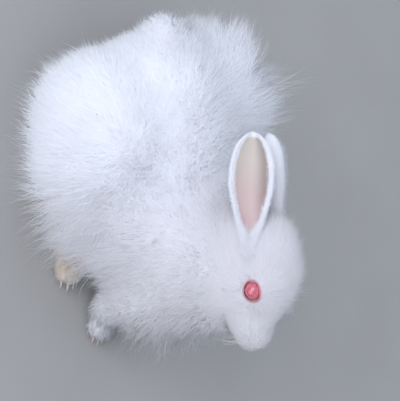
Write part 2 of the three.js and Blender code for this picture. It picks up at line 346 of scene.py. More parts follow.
# The grid is finest over the face and the fore feet, coarse over the body, where the wool hides the skin.
grid_x = np.concatenate([np.arange(-112, 52, COARSE), np.arange(52, 134, FINE), np.arange(134, 152, FINEST)])
grid_y = np.concatenate([np.arange(-87, -36, COARSE), np.arange(-36, -18, FINE), np.arange(-18, 4, FINEST),
                         np.arange(4, 36, FINE), np.arange(36, 87, COARSE)])
grid_z = np.concatenate([np.arange(-3, 18, 1.5), np.arange(18, 108, COARSE), np.arange(108, 120, FINE),
                         np.arange(120, 146, FINEST), np.arange(146, 182, FINE)])
grid = np.stack(np.meshgrid(grid_x, grid_y, grid_z, indexing="ij"), -1).reshape(-1, 3).astype(np.float32)
body_field, limb_field, head_field = flesh_parts(grid)
field = joined(joined(body_field, limb_field, LIMB_JOIN), head_field, NECK_JOIN)
field = np.maximum(field, SOLE_HEIGHT - grid[:, 2]).reshape(len(grid_x), len(grid_y), len(grid_z))
skin_points, skin_faces = surface_net(grid_x, grid_y, grid_z, field)
skin_faces = np.concatenate([skin_faces[:, [0, 1, 2]], skin_faces[:, [0, 2, 3]]])


# The ears: each a leaf of thin skin that rolls into a tube at its root, both laid back along the neck with
# their openings outwards. Own frame: X from root to tip, Y across, Z out of the opening.
RIGHT_EAR, LEFT_EAR, EYELID = 2.0, 4.0, 5.0
EAR_LENGTH = 89.0
EAR_WIDTH = 33.0
EAR_BACK_FUR = 0.9
EAR_SKIN_THICKNESS = 1.3
EAR_ROLL_AT_ROOT = 140
EAR_ROLL_OPEN = 62
EAR_SET_BACK = 31
EAR_RIM_SHARE = 0.58
EAR_STATIONS = 72
EAR_STEPS = 34
# For each ear its side, how far out and how high its root is, how many degrees its opening faces up, and how
# much its tip splays out and rises.
EARS = {"right": (-1, 16, -5, 40, 0.05, 0.09), "left": (1, 8.5, -8.5, 22, -0.1, 0.035)}


def smooth(value, low, high):
    """Runs from 0 to 1 with no corner while the value goes from low to high."""
    share = np.clip((value - low) / (high - low), 0, 1)
    return share * share * (3 - 2 * share)


def ear_width(t):
    tip = np.clip((t - 0.6) / 0.4, 0, 0.995)
    return EAR_WIDTH * (0.34 + 0.66 * smooth(t, 0, 0.6)) * np.sqrt(1 - tip ** 2.4)


def ear_leaf(t, share, inset):
    """Places on the ear leaf: t runs from root to tip, share across from -1 to 1, inset in from its back.
    Below the root the tube narrows and sinks into the head."""
    sunk = np.minimum(t, 0)
    rise = 3 - 10.67 * t - 1.83 * t ** 2 + 13.5 * t ** 3 + 50 * sunk
    width = ear_width(t) * (1 + 6 * sunk)
    roll = np.radians(EAR_ROLL_AT_ROOT - (EAR_ROLL_AT_ROOT - EAR_ROLL_OPEN) * smooth(t, 0, 0.45))
    radius = width / 2 / np.sin(np.minimum(roll, math.pi / 2))
    reach = radius - np.minimum(inset, width / 4)
    out = rise + radius - reach * np.cos(share * roll)
    return np.stack([EAR_LENGTH * t, reach * np.sin(share * roll), out], -1)


def from_rim(t, share):
    """How far a place on the leaf is from its edge, in millimetres."""
    return np.minimum((1 - np.abs(share)) * ear_width(t) * EAR_RIM_SHARE, (1 - t) * EAR_LENGTH)


def ear_placed(points, side, out, height, facing, splay, rise):
    """Points of an ear's own frame, set on the head."""
    along = np.array([-1, side * splay, rise])
    along /= np.linalg.norm(along)
    opening = np.array([0, side * math.cos(math.radians(facing)), math.sin(math.radians(facing))])
    across = np.cross(opening, along)
    across /= np.linalg.norm(across)
    opening = np.cross(along, across)
    root_place = np.array([-EAR_SET_BACK, side * out, height])
    return of_head(points @ np.array([along, across, opening]) + root_place)


def grid_faces(rows, columns):
    """Faces between the rows of points of a tube."""
    i, j = np.meshgrid(np.arange(rows - 1), np.arange(columns), indexing="ij")
    a, b = i * columns + j, i * columns + (j + 1) % columns
    quads = np.stack([a, b, b + columns, a + columns], -1).reshape(-1, 4)
    return np.concatenate([quads[:, [0, 1, 2]], quads[:, [0, 2, 3]]])


ear_t = 1 - 1.1 * (1 - np.linspace(0, 1, EAR_STATIONS)) ** 1.4
across_shares = np.sin(np.linspace(-math.pi / 2, math.pi / 2, EAR_STEPS))
ring_share = np.concatenate([across_shares, across_shares[::-1]])
ring_inset = np.repeat([EAR_BACK_FUR, EAR_BACK_FUR + EAR_SKIN_THICKNESS], EAR_STEPS)
ear_rows, ear_shares = np.meshgrid(ear_t, ring_share, indexing="ij")
ear_insets = np.broadcast_to(ring_inset, ear_rows.shape)
ear_ring = 2 * EAR_STEPS
leaf = ear_leaf(ear_rows.ravel(), ear_shares.ravel(), ear_insets.ravel())
leaf_faces = grid_faces(EAR_STATIONS, ear_ring)
row_caps = []
for first, order in ((0, 1), ((EAR_STATIONS - 1) * ear_ring, -1)):
    for j in range(EAR_STEPS - 1):
        a, b, c, d = first + j, first + j + 1, first + ear_ring - 2 - j, first + ear_ring - 1 - j
        row_caps += [(a, c, b)[::order], (a, d, c)[::order]]
leaf_faces = np.concatenate([leaf_faces, np.array(row_caps)])
pieces = [(skin_points, skin_faces, np.zeros(len(skin_points)), np.zeros((len(skin_points), 3)))]
inner = (ear_insets.ravel() > EAR_BACK_FUR).astype(float)
ear_place = np.stack([ear_rows.ravel(), ear_shares.ravel(), inner], -1)
for part, setting in zip((RIGHT_EAR, LEFT_EAR), EARS.values()):
    pieces.append((ear_placed(leaf, *setting), leaf_faces, np.full(len(leaf), part), ear_place))


# The eyelids: a thin fold of skin round each eye that follows the ball, pink and bare along its edge, open
# in an almond. Built in rings from inside the edge, over it, and out under the fur: each ring is so many
# millimetres proud of the ball and so many degrees out from the edge.
LID_HALF_OPEN = np.radians([60, 42])
LID_RINGS = [(0.05, 6), (0.35, 1.5), (0.7, 0), (1.0, 2.5), (1.15, 7), (1.1, 14), (0.7, 24), (-0.4, 38)]
LID_BARE = 9
LID_BARE_FADE = (5, 13)
LID_STEPS = 56
lid_turn = np.linspace(0, 2 * math.pi, LID_STEPS, endpoint=False)


def eye_axes(side):
    """The ball's middle, where it looks, its long axis towards the nose and its short axis, head frame."""
    gaze = np.array([0.16, side * 1.0, 0.34])
    gaze /= np.linalg.norm(gaze)
    ahead = np.array([1.0, 0, 0.06])
    ahead -= gaze * (ahead @ gaze)
    ahead /= np.linalg.norm(ahead)
    return np.array([-EYE_SET_BACK, side * EYE_SPREAD, 0]), gaze, ahead, np.cross(gaze, ahead) * side


for side in (-1, 1):
    middle, gaze, ahead, above = eye_axes(side)
    long_way, short_way = np.cos(lid_turn) / LID_HALF_OPEN[0], np.sin(lid_turn) / LID_HALF_OPEN[1]
    almond = 1 / np.sqrt(long_way ** 2 + short_way ** 2)
    rings = []
    for proud, out in LID_RINGS:
        angle = (almond + math.radians(out))[:, None]
        edge = np.cos(lid_turn)[:, None] * ahead + np.sin(lid_turn)[:, None] * above
        rings.append(middle + (EYE_RADIUS + proud) * (np.cos(angle) * gaze + np.sin(angle) * edge))
    lid_points = of_head(np.concatenate(rings))
    lid_faces = grid_faces(len(LID_RINGS), LID_STEPS)
    if side > 0:
        lid_faces = lid_faces[:, ::-1]
    lid_place = np.zeros((len(lid_points), 3))
    lid_place[:, 0] = np.repeat([ring[1] for ring in LID_RINGS], LID_STEPS)
    lid_place[:2 * LID_STEPS, 0] = 0
    pieces.append((lid_points, lid_faces, np.full(len(lid_points), EYELID), lid_place))

offsets = np.cumsum([0] + [len(p[0]) for p in pieces])
skin_points = np.concatenate([p[0] for p in pieces])
skin_faces = np.concatenate([p[1] + offset for p, offset in zip(pieces, offsets)])
skin_part = np.concatenate([p[2] for p in pieces])
skin_place = np.concatenate([p[3] for p in pieces])
skin = mesh_object("skin", to_model(skin_points), skin_faces)

# What the skin's colours and the roots of the fur follow: how bare it is, the stain of the hind feet, how far
# up the ear a place is, and a painted shade along the ear's upper edge, where its curled fold shades the
# skin.
NOSE_BARENESS = 0.55
EAR_FOLD_SHADE = 0.65
head_frame = in_head(skin_points)
on_ear = (skin_part == RIGHT_EAR) | (skin_part == LEFT_EAR)
ear_bare = skin_place[:, 2] * smooth(from_rim(skin_place[:, 0], skin_place[:, 1]), 2.2, 4.6)
nose = 1 - smooth(np.linalg.norm((head_frame - [43.5, 0, -9.5]) / [4, 6.2, 3.6], axis=1), 0.7, 1.25)
lid_bare = 1 - smooth(skin_place[:, 0], *LID_BARE_FADE)
bare = np.select([on_ear, skin_part == EYELID], [ear_bare, lid_bare], nose * NOSE_BARENESS)
body_away, foot_away, head_away = flesh_parts(skin_points.astype(np.float32))
on_hind_foot = (foot_away < np.minimum(body_away, head_away)) & (skin_points[:, 0] < 95) & (skin_part == 0)
# Painted shade on the ear: darkest along its upper edge, from a fifth of the way up and fully from half way.
upper_side = np.where(skin_part == RIGHT_EAR, -1, 1) * skin_place[:, 1]
ear_fold_painted_shade = on_ear * (smooth(upper_side, 0.0, 0.6) * smooth(skin_place[:, 0], 0.2, 0.5)) * EAR_FOLD_SHADE
ear_length = np.where(on_ear, 0.15 + 0.85 * skin_place[:, 0], 0)
for name, values in (("bare", bare), ("stain", on_hind_foot), ("ear_length", ear_length),
                     ("ear_fold_painted_shade", ear_fold_painted_shade)):
    attribute = skin.data.attributes.new(name, "FLOAT", "POINT")
    attribute.data.foreach_set("value", values.astype(np.float32))

bpy.context.view_layer.objects.active = skin
skin.select_set(True)
skin.data.uv_layers.new(name="OFBake")
bpy.ops.object.mode_set(mode="EDIT")
bpy.ops.mesh.select_all(action="SELECT")
bpy.ops.uv.smart_project(angle_limit=math.radians(66), island_margin=0.002)
bpy.ops.object.mode_set(mode="OBJECT")
skin.select_set(False)

# Albino rabbit skin under short white fur: the fur is white and dull, the bare inside of the ear, the lids
# and the nose are thin skin, pinkest at the ear's root, where the blood shows through it.
short_fur, tree, shader = material_of("pink_skin_and_short_white_fur")
place = node(tree, "ShaderNodeTexCoord")
clouds = node(tree, "ShaderNodeTexNoise", {"Vector": place.outputs["Object"], "Scale": 45.0, "Detail": 5.0})
fur_tone = node(tree, "ShaderNodeMix", {"Factor": clouds.outputs["Fac"], "A": srgb("#E6E8EE"),
                                        "B": srgb("#F4F4F5")}, data_type="RGBA")
up_the_ear = node(tree, "ShaderNodeAttribute", attribute_name="ear_length")
blotched = node(tree, "ShaderNodeMath", {0: clouds.outputs["Fac"], 1: 0.3, 2: up_the_ear.outputs["Fac"]},
                operation="MULTIPLY_ADD")
blood = node(tree, "ShaderNodeValToRGB", {"Fac": blotched.outputs[0]})
blood.color_ramp.elements[0].position = 0.17
blood.color_ramp.elements[0].color = srgb("#D18E98")
blood.color_ramp.elements[1].position = 0.95
blood.color_ramp.elements[1].color = srgb("#D4CBC3")
blood.color_ramp.elements.new(0.36).color = srgb("#D0B0B5")
blood.color_ramp.elements.new(0.6).color = srgb("#D2BCBB")
blood.color_ramp.elements.new(0.8).color = srgb("#D2C1BC")
# Painted shade: the bare skin turns grey brown under the ear's upper fold, where the curled rim shades it.
fold = node(tree, "ShaderNodeAttribute", attribute_name="ear_fold_painted_shade")
bare_tone = node(tree, "ShaderNodeMix", {"Factor": fold.outputs["Fac"], "A": blood.outputs["Color"],
                                          "B": srgb("#93827E")}, data_type="RGBA")
bareness = node(tree, "ShaderNodeAttribute", attribute_name="bare")
stained = node(tree, "ShaderNodeAttribute", attribute_name="stain")
stain_tone = node(tree, "ShaderNodeMix", {"Factor": stained.outputs["Fac"], "A": fur_tone.outputs[2],
                                           "B": srgb("#D8C7B2")}, data_type="RGBA")
whole_tone = node(tree, "ShaderNodeMix", {"Factor": bareness.outputs["Fac"], "A": stain_tone.outputs[2],
                                           "B": bare_tone.outputs[2]}, data_type="RGBA")
tree.links.new(whole_tone.outputs[2], shader.inputs["Base Color"])
# The grain of the short fur is about a millimetre across.
hair_grain = node(tree, "ShaderNodeTexNoise", {"Vector": place.outputs["Object"], "Scale": 900.0,
                                               "Detail": 3.0})
grain_bump = node(tree, "ShaderNodeBump", {"Height": hair_grain.outputs["Fac"], "Strength": 0.2,
                                            "Distance": 0.0005})
tree.links.new(grain_bump.outputs["Normal"], shader.inputs["Normal"])
shader.inputs["Roughness"].default_value = 0.62
shader.inputs["Subsurface Weight"].default_value = 0.35
shader.inputs["Subsurface Radius"].default_value = (1.0, 0.45, 0.3)
shader.inputs["Subsurface Scale"].default_value = 0.002
skin.data.materials.append(short_fur)
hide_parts("head", "neck", "breast", "trunk", "rump", "thigh_right", "thigh_left", "tail",
            "hind_foot_right", "hind_foot_left", "fore_leg_right", "fore_leg_left", "ear_right", "ear_left")
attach(skin, "root")


# The eyes: wet balls with a clear bulge over a pink iris, the albino's ruby pupil in its middle. Each is a
# ball of rings round the way it looks, so that its colours follow the angle from the pupil.
EYE_RINGS = 40
EYE_STEPS = 56
BALL_RADIUS = EYE_RADIUS - 0.3
CORNEA_BULGE = 0.9
CORNEA_EDGE = math.radians(50)
# The tones by their angle from the pupil's middle, in degrees: the pupil, pale in its middle with a painted
# glow of light thrown back from inside the eye, its edge, the iris, the iris's dark rim and the pale ball
# beyond it.
EYE_TONES = [(0, "#F4A0A9"), (9, "#E88492"), (15, "#C9566A"), (19, "#CC5F72"), (30, "#D87383"),
             (42, "#CE6076"), (49, "#B24A5F"), (55, "#C27183"), (66, "#E4B8BC")]
STREAK_WAVER = 0.05
# A live eye is wet: a mirror-smooth clear coat over soft pink tissue that lets a little light through.
eye_glass, tree, shader = material_of("wet_albino_eye")
from_pupil = node(tree, "ShaderNodeAttribute", attribute_name="from_pupil")
around = node(tree, "ShaderNodeTexCoord")
streaks = node(tree, "ShaderNodeTexNoise", {"Vector": around.outputs["Object"], "Scale": 700.0,
                                            "Detail": 4.0})
wavered = node(tree, "ShaderNodeMath", {0: streaks.outputs["Fac"], 1: STREAK_WAVER,
                                        2: from_pupil.outputs["Fac"]}, operation="MULTIPLY_ADD")
iris = node(tree, "ShaderNodeValToRGB", {"Fac": wavered.outputs[0]})
iris.color_ramp.elements.remove(iris.color_ramp.elements[1])
iris.color_ramp.elements[0].color = srgb(EYE_TONES[0][1])
for degrees, code in EYE_TONES[1:]:
    iris.color_ramp.elements.new(degrees / 90 + STREAK_WAVER / 2).color = srgb(code)
tree.links.new(iris.outputs["Color"], shader.inputs["Base Color"])
shader.inputs["Roughness"].default_value = 0.12
shader.inputs["Coat Weight"].default_value = 1.0
shader.inputs["Coat Roughness"].default_value = 0.02
shader.inputs["Subsurface Weight"].default_value = 0.3
shader.inputs["Subsurface Radius"].default_value = (1.0, 0.25, 0.2)
shader.inputs["Subsurface Scale"].default_value = 0.003
for side, name in ((-1, "right"), (1, "left")):
    middle, gaze, ahead, above = eye_axes(side)
    polar = np.linspace(0.02, math.pi - 0.02, EYE_RINGS)
    turn = np.linspace(0, 2 * math.pi, EYE_STEPS, endpoint=False)
    rows, turns = np.meshgrid(polar, turn, indexing="ij")
    bulge = BALL_RADIUS + CORNEA_BULGE * (1 - smooth(rows, 0.1, CORNEA_EDGE))
    edge = np.cos(turns)[..., None] * ahead + np.sin(turns)[..., None] * above
    ball = middle + bulge[..., None] * (np.cos(rows)[..., None] * gaze + np.sin(rows)[..., None] * edge)
    poles = [middle + (BALL_RADIUS + CORNEA_BULGE) * gaze, middle - BALL_RADIUS * gaze]
    ball = np.concatenate([ball.reshape(-1, 3), poles])
    ring = np.arange(EYE_STEPS)
    ring_on = (ring + 1) % EYE_STEPS
    last = (EYE_RINGS - 1) * EYE_STEPS
    near_cap = np.stack([ring_on, ring, np.full(EYE_STEPS, EYE_RINGS * EYE_STEPS)], -1)
    far_cap = np.stack([last + ring, last + ring_on, np.full(EYE_STEPS, EYE_RINGS * EYE_STEPS + 1)], -1)
    faces = np.concatenate([grid_faces(EYE_RINGS, EYE_STEPS), near_cap, far_cap])
    if side > 0:
        faces = faces[:, ::-1]
    eye = mesh_object("eyeball_" + name, to_model(of_head(ball)), faces)
    attribute = eye.data.attributes.new("from_pupil", "FLOAT", "POINT")
    angles = np.concatenate([rows.ravel() / (math.pi / 2), [0, 2]])
    attribute.data.foreach_set("value", angles.astype(np.float32))
    eye.data.materials.append(eye_glass)
    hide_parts("eye_" + name)
    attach(eye, "root")


# The wool of the body: long soft locks, each a closed blade with three sides. They root all over the skin,
# lean as the coat lies, end at the outline of the solids and draw together in locks.
OUTLINE_GRAIN = 0.0025
FARTHEST_OUTLINE = 0.15
TUFT_PATCH = 0.003
BLADE_SEGMENTS = 2
BLADE_TAPER = 0.75
MOST_LIFT = 4.0
SAFE_LIFT = 0.42
BODY_SOLIDS = ["neck", "breast", "trunk", "rump", "thigh_right", "thigh_left", "tail", "hind_foot_right",
               "hind_foot_left", "fore_leg_right", "fore_leg_left"]


def outline_of(solids):
    """One closed surface round some of the solids, without the cuts between them, to cast rays at."""
    all_points, all_faces = [], []
    for name in solids:
        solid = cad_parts[name].data
        points = np.zeros(len(solid.vertices) * 3, np.float32)
        solid.vertices.foreach_get("co", points)
        solid.calc_loop_triangles()
        faces = np.zeros(len(solid.loop_triangles) * 3, np.int32)
        solid.loop_triangles.foreach_get("vertices", faces)
        all_faces.append(faces.reshape(-1, 3) + sum(len(p) for p in all_points))
        all_points.append(points.reshape(-1, 3))
    joined_solids = mesh_object("outline", np.concatenate(all_points), np.concatenate(all_faces))
    one_surface = joined_solids.modifiers.new("one_surface", "REMESH")
    one_surface.mode = "VOXEL"
    one_surface.voxel_size = OUTLINE_GRAIN
    closed = joined_solids.evaluated_get(bpy.context.evaluated_depsgraph_get()).to_mesh()
    points = np.zeros(len(closed.vertices) * 3, np.float32)
    closed.vertices.foreach_get("co", points)
    faces = [tuple(face.vertices) for face in closed.polygons]
    found = BVHTree.FromPolygons(points.reshape(-1, 3).tolist(), faces)
    bpy.data.objects.remove(joined_solids)
    return found


body_outline = outline_of(BODY_SOLIDS)
head_outline = outline_of(["head", "neck", "breast"])


def unit(vectors):
    return vectors / (np.linalg.norm(vectors, axis=-1, keepdims=True) + 1e-9)


corners = skin_points[skin_faces]
across_face = np.cross(corners[:, 1] - corners[:, 0], corners[:, 2] - corners[:, 0])
face_area = np.linalg.norm(across_face, axis=1) / 2
point_normal = np.zeros_like(skin_points)
for n in range(3):
    for m in range(3):
        point_normal[:, m] += np.bincount(skin_faces[:, n], across_face[:, m], len(skin_points))
point_normal = unit(point_normal)
skin_map = np.zeros(len(skin.data.loops) * 2, np.float32)
skin.data.uv_layers["OFBake"].data.foreach_get("uv", skin_map)
skin_map = skin_map.reshape(-1, 3, 2)
face_middle = corners.mean(1)
face_part = skin_part[skin_faces[:, 0]]
face_place = skin_place[skin_faces].mean(1)
face_bare = bare[skin_faces].mean(1)
body_away, foot_away, head_away = flesh_parts(face_middle.astype(np.float32))
plain_skin = face_part == 0
on_foot = plain_skin & (foot_away < body_away) & (foot_away < head_away)
on_head = plain_skin & (head_away <= body_away) & (head_away <= foot_away)
on_body = plain_skin & ~on_foot & ~on_head


def scatter(count, weight, rng):
    """Roots on the skin, as many on each face as its area times its weight asks."""
    total = np.cumsum(face_area * weight)
    pick = np.searchsorted(total, (np.arange(count) + rng.random(count)) / count * total[-1])
    pick = np.minimum(pick, len(total) - 1)
    a, b = np.sqrt(rng.random(count)), rng.random(count)
    share = np.stack([1 - a, a * (1 - b), a * b], -1)
    root = np.einsum("ij,ijk->ik", share, corners[pick])
    outward = unit(np.einsum("ij,ijk->ik", share, point_normal[skin_faces[pick]]))
    return pick, root, outward, np.einsum("ij,ijk->ik", share, skin_map[pick])


def along_skin(way, outward):
    """The ways laid flat on the skin."""
    return unit(way - outward * np.einsum("ij,ij->i", way, outward)[:, None])


def room_along(root, way, outline, longest):
    """How far it is from each root to the outline of the coat, in millimetres."""
    found = np.zeros(len(root))
    for i, (start, ahead) in enumerate(zip(to_model(root).tolist(), way.tolist())):
        hit = outline.ray_cast(start, ahead, FARTHEST_OUTLINE)
        if hit[3] is not None:
            found[i] = min(hit[3] * 1000, longest)
    return found


def grow(root, outward, lie, height, lean, loose, rng):
    """Middles and tips of strands that rise to a height, lean over along the coat and differ a little."""
    height = height[:, None]
    middle = root + (outward * 0.6 + lie * lean * 0.2 + rng.normal(size=root.shape) * loose * 0.5) * height
    return middle, root + (outward + lie * lean + rng.normal(size=root.shape) * loose) * height


def draw_together(root, middle, tip, leaders, pull, rng):
    """Bends strands towards the nearest of some leaders, most at their tips, so that they form locks."""
    chosen = rng.permutation(len(root))[:leaders]
    finder = KDTree(leaders)
    for i, place in enumerate(root[chosen].tolist()):
        finder.insert(place, i)
    finder.balance()
    nearest = chosen[[finder.find(place)[1] for place in root.tolist()]]
    pull = pull[:, None]
    return middle + (middle[nearest] - middle) * pull * 0.4, tip + (tip[nearest] - tip) * pull


def blades(base, middle, tip, width, outward, base_uv, rng, segments=BLADE_SEGMENTS):
    """Closed three-sided blades on curves from base to tip, each with its UV patch at its root's place. Their
    normals lean outwards, so that the coat is lit as one soft surface, but none turns against its face."""
    count = len(base)
    t = np.linspace(0, 1, segments + 1)[None, :, None]
    path = (1 - t) ** 2 * base[:, None] + 2 * t * (1 - t) * middle[:, None] + t ** 2 * tip[:, None]
    ahead = unit(np.gradient(path, axis=1))
    side = unit(np.cross(ahead, unit(rng.normal(size=(count, 3)))[:, None]))
    other = np.cross(ahead, side)
    angles = np.array([0, 2, 4]) * math.pi / 3
    spokes = np.cos(angles)[:, None] * side[:, :, None] + np.sin(angles)[:, None] * other[:, :, None]
    radius = width[:, None, None, None] / 2 * (1 - BLADE_TAPER * t[..., None])
    rings = (path[:, :, None] + radius * spokes)[:, :-1].reshape(count, -1, 3)
    points = np.concatenate([rings, path[:, -1:]], 1)
    facing_out = [np.einsum("ijkl,il->ijk", -np.roll(spokes, turn, axis=2), outward) for turn in (-2, -1)]
    lift = np.minimum(MOST_LIFT, SAFE_LIFT / np.maximum(-np.minimum(*facing_out), 1e-3))
    lit = unit(spokes + lift[..., None] * outward[:, None, None])
    normals = np.concatenate([lit[:, :-1].reshape(count, -1, 3), unit(ahead[:, -1:] + outward[:, None])], 1)
    faces = [(0, 2, 1)]
    for s in range(segments - 1):
        for a in range(3):
            b = (a + 1) % 3
            faces += [(3 * s + a, 3 * s + b, 3 * s + 3 + b), (3 * s + a, 3 * s + 3 + b, 3 * s + 3 + a)]
    faces += [(3 * segments - 3 + a, 3 * segments - 3 + (a + 1) % 3, 3 * segments) for a in range(3)]
    faces = np.array(faces)
    first_point = (3 * segments + 1) * np.arange(count)
    all_faces = (faces[None] + first_point[:, None, None]).reshape(-1, 3)
    patch = np.array([(j % 3 / 2 - 0.5, j // 3 / segments - 0.5) for j in range(3 * segments)] + [(0, 0.5)])
    uvs = np.clip(base_uv[:, None, None] + TUFT_PATCH * patch[faces][None], 0, 1)
    return points.reshape(-1, 3), all_faces, uvs.reshape(-1, 2), normals.reshape(-1, 3)


def coat_piece(name, points, faces, uvs, normals, look, slot, solid=True):
    """One object of the coat. Real hair is far finer than the blades and lets light through, so loose fur
    casts no shadow."""
    made = mesh_object(name, to_model(points), faces)
    made.data.uv_layers.new(name="OFBake", do_init=False)
    made.data.uv_layers["OFBake"].data.foreach_set("uv", uvs.astype(np.float32).ravel())
    made.data.normals_split_custom_set_from_vertices(normals.astype(np.float32))
    made.data.materials.append(look)
    made.visible_shadow = solid
    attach(made, "root")


# Angora wool: fine crimped fibre with almost no gloss and a soft sheen at its edges. Its colour is painted
# bluish white on the back for the cool sky light there and warmer and duller towards the face for the shade
# there, with slow drifts between paler and duller locks.
def wool(name, cool, warm, back=-0.02, front=0.07):
    """Wool that goes from one tone to the other between two places along the body, in metres."""
    made, tree, shader = material_of(name)
    place = node(tree, "ShaderNodeTexCoord")
    apart = node(tree, "ShaderNodeSeparateXYZ", {"Vector": place.outputs["Object"]})
    forward = node(tree, "ShaderNodeMapRange", {"Value": apart.outputs["X"], "From Min": back,
                                                "From Max": front})
    drift = node(tree, "ShaderNodeTexNoise", {"Vector": place.outputs["Object"], "Scale": 40.0,
                                              "Detail": 3.0})
    mixed = node(tree, "ShaderNodeMath", {0: drift.outputs["Fac"], 1: 0.5, 2: forward.outputs[0]},
                 operation="MULTIPLY_ADD")
    eased = node(tree, "ShaderNodeMath", {0: mixed.outputs[0], 1: 0.25}, operation="SUBTRACT",
                 use_clamp=True)
    tone = node(tree, "ShaderNodeMix", {"Factor": eased.outputs[0], "A": srgb(cool), "B": srgb(warm)},
                data_type="RGBA")
    tree.links.new(tone.outputs[2], shader.inputs["Base Color"])
    shader.inputs["Roughness"].default_value = 0.8
    shader.inputs["Specular IOR Level"].default_value = 0.25
    shader.inputs["Sheen Weight"].default_value = 0.3
    shader.inputs["Sheen Roughness"].default_value = 0.5
    return made


# Painted light: bluish where the sky lights the back, warmer and duller in the shade towards the face.
body_wool = wool("angora_wool", "#F4F7FE", "#DFDEE4")


def body_lie(root, outward):
    """The way the wool lies: back and down from the spine, down on the breast, turned here and there."""
    x, y = root[:, 0], root[:, 1]
    swirl = np.sin(x / 17 + 1.3 * np.sin(y / 21)) * 0.7
    forward = smooth(x, 40, 85)
    sideways = 0.45 * np.sign(y) * smooth(np.abs(y), 0, 25) + 0.5 * swirl
    way = np.stack([-0.7 + forward + 0.7 * swirl, sideways, -0.5 - 0.3 * forward], -1)
    return along_skin(way, outward)


# The wool grows in four layers, from the thick short ground that hides the skin to the thin long strays. Each
# shows the part of its strands past start, and ends at a share of the room between skin and outline.
DEEPEST_WOOL = 48.0
DEEPEST_UNDER_HEAD = 12.0
SHORTEST_WOOL = 7.0
STRAY_REACH = 7.0
FRINGE = 4.0
FLOOR_GAP = 0.5
BELLY_TOP = 14
BELLY_THINNESS = 0.3
WOOL_LEAN = 0.42
NAPE_TUFT = 9
TIP_SCATTER = 1.6
WOOL_LOCKS = 3600
WOOL_TUFTS = 420
LAYERS = {
    "ground": dict(count=10000, start=0.0, ends=(0.4, 0.74), widths=(0.8, 1.2), loose=0.2, parts=1),
    "underwool": dict(count=16000, start=0.1, ends=(0.5, 0.8), widths=(0.8, 1.2), loose=0.25, parts=1),
    "locks": dict(count=63000, start=0.4, ends=(0.78, 1.06), widths=(0.26, 0.5), loose=0.3, parts=5),
    "strays": dict(count=8000, start=0.6, ends=(0.98, 1.12), widths=(0.14, 0.24), loose=0.3, parts=1),
}
coat_low = np.array(cad_box[0]) * 1000 - ORIGIN - [STRAY_REACH, STRAY_REACH, -FLOOR_GAP]
coat_high = np.array(cad_box[1]) * 1000 - ORIGIN + STRAY_REACH
rng = np.random.default_rng(11)
for layer, made_of in LAYERS.items():
    count, start = made_of["count"], made_of["start"]
    density = on_body * np.where(face_middle[:, 2] < BELLY_TOP, BELLY_THINNESS, 1.0)
    _, root, outward, root_uv = scatter(count, density, rng)
    lie = body_lie(root, outward)
    room = room_along(root, outward, body_outline, DEEPEST_WOOL)
    under_head = room < 1
    room[under_head] = room_along(root[under_head], outward[under_head], head_outline, DEEPEST_UNDER_HEAD)
    nape = np.exp(-((root[:, 0] - 46) / 15) ** 2 - ((root[:, 1] - 6) / 11) ** 2) * (root[:, 2] > 95)
    height = np.maximum(room, SHORTEST_WOOL) + NAPE_TUFT * nape
    height = np.minimum(height * rng.uniform(*made_of["ends"], count), height + FRINGE)
    middle, tip = grow(root, outward, lie, height, WOOL_LEAN, made_of["loose"], rng)
    middle, tip = draw_together(root, middle, tip, WOOL_LOCKS, rng.uniform(0.0, 0.35, count), rng)
    far_haunch = smooth(root[:, 1], 22, 45) * smooth(-root[:, 0], -25, -5)
    pull = rng.uniform(0.0, 0.32, count) + 0.35 * far_haunch
    middle, tip = draw_together(root, middle, tip, WOOL_TUFTS, pull, rng)
    tip += rng.normal(size=tip.shape) * TIP_SCATTER
    base = (1 - start) ** 2 * root + 2 * start * (1 - start) * middle + start ** 2 * tip
    middle = (1 - start) * middle + start * tip
    base, middle, tip = [np.clip(bend, coat_low, coat_high) for bend in (base, middle, tip)]
    width = rng.uniform(*made_of["widths"], count)
    for i, chosen in enumerate(np.array_split(np.argsort(root[:, 0]), made_of["parts"])):
        grown = blades(base[chosen], middle[chosen], tip[chosen], width[chosen], outward[chosen],
                       root_uv[chosen], rng)
        coat_piece(f"wool_{layer}_{i + 1}", *grown, body_wool, "body_wool", solid=layer == "ground")


# The fur of the face: short and plush, it starts at the nose and lies back over cheeks and brow round the
# eyes, and grows longer on the crown and jowls until it meets the wool of the neck.
FACE_STRANDS = 30000
FACE_LOCKS = 3000
LONGEST_FACE_FUR = 40.0
SHORTEST_FACE_FUR = 0.8
CROWN_FRINGE = 5.0
NOSE_TIP = (46.0, 0, -10)
# The face's short wool lies closer and is painted duller than the body's, darkest towards the muzzle: painted
# shade.
face_wool = wool("face_wool", "#E5E4EA", "#C3C1C6", 0.085, 0.14)
rng = np.random.default_rng(23)
on_lid = (face_part == EYELID) & (face_place[:, 0] > LID_BARE)
pick, root, outward, root_uv = scatter(FACE_STRANDS, (on_head & (face_bare < 0.4)) + on_lid * 1.2, rng)
from_nose = (in_head(root) - np.array(NOSE_TIP)) * np.array([1, 1, 0.8])
lie = along_skin(from_nose @ HEAD_AXES, outward)
low = smooth(-in_head(root)[:, 2], 2, 14)
long_fur = smooth(from_nose[:, 0] - 11 * low, -25, -57)
cheek = low * long_fur * smooth(in_head(root)[:, 2], -42, -30)
forehead = smooth(from_nose[:, 0], -16, -36) * smooth(from_nose[:, 0], -68, -50)
forehead *= smooth(from_nose[:, 2], 4, 14)
for side in (-1, 1):
    eye_middle, gaze = eye_axes(side)[:2]
    apart = root - of_head(eye_middle + gaze * EYE_RADIUS)
    near_eye = 1 - smooth(np.linalg.norm(apart, axis=1), 12, 24)
    lie = along_skin(lie + unit(apart) * 2.2 * near_eye[:, None], outward)
room = room_along(root, outward, head_outline, LONGEST_FACE_FUR)
room = np.clip(room, SHORTEST_FACE_FUR, 2.5 + 22 * long_fur) * rng.uniform(0.7, 1.04, FACE_STRANDS)
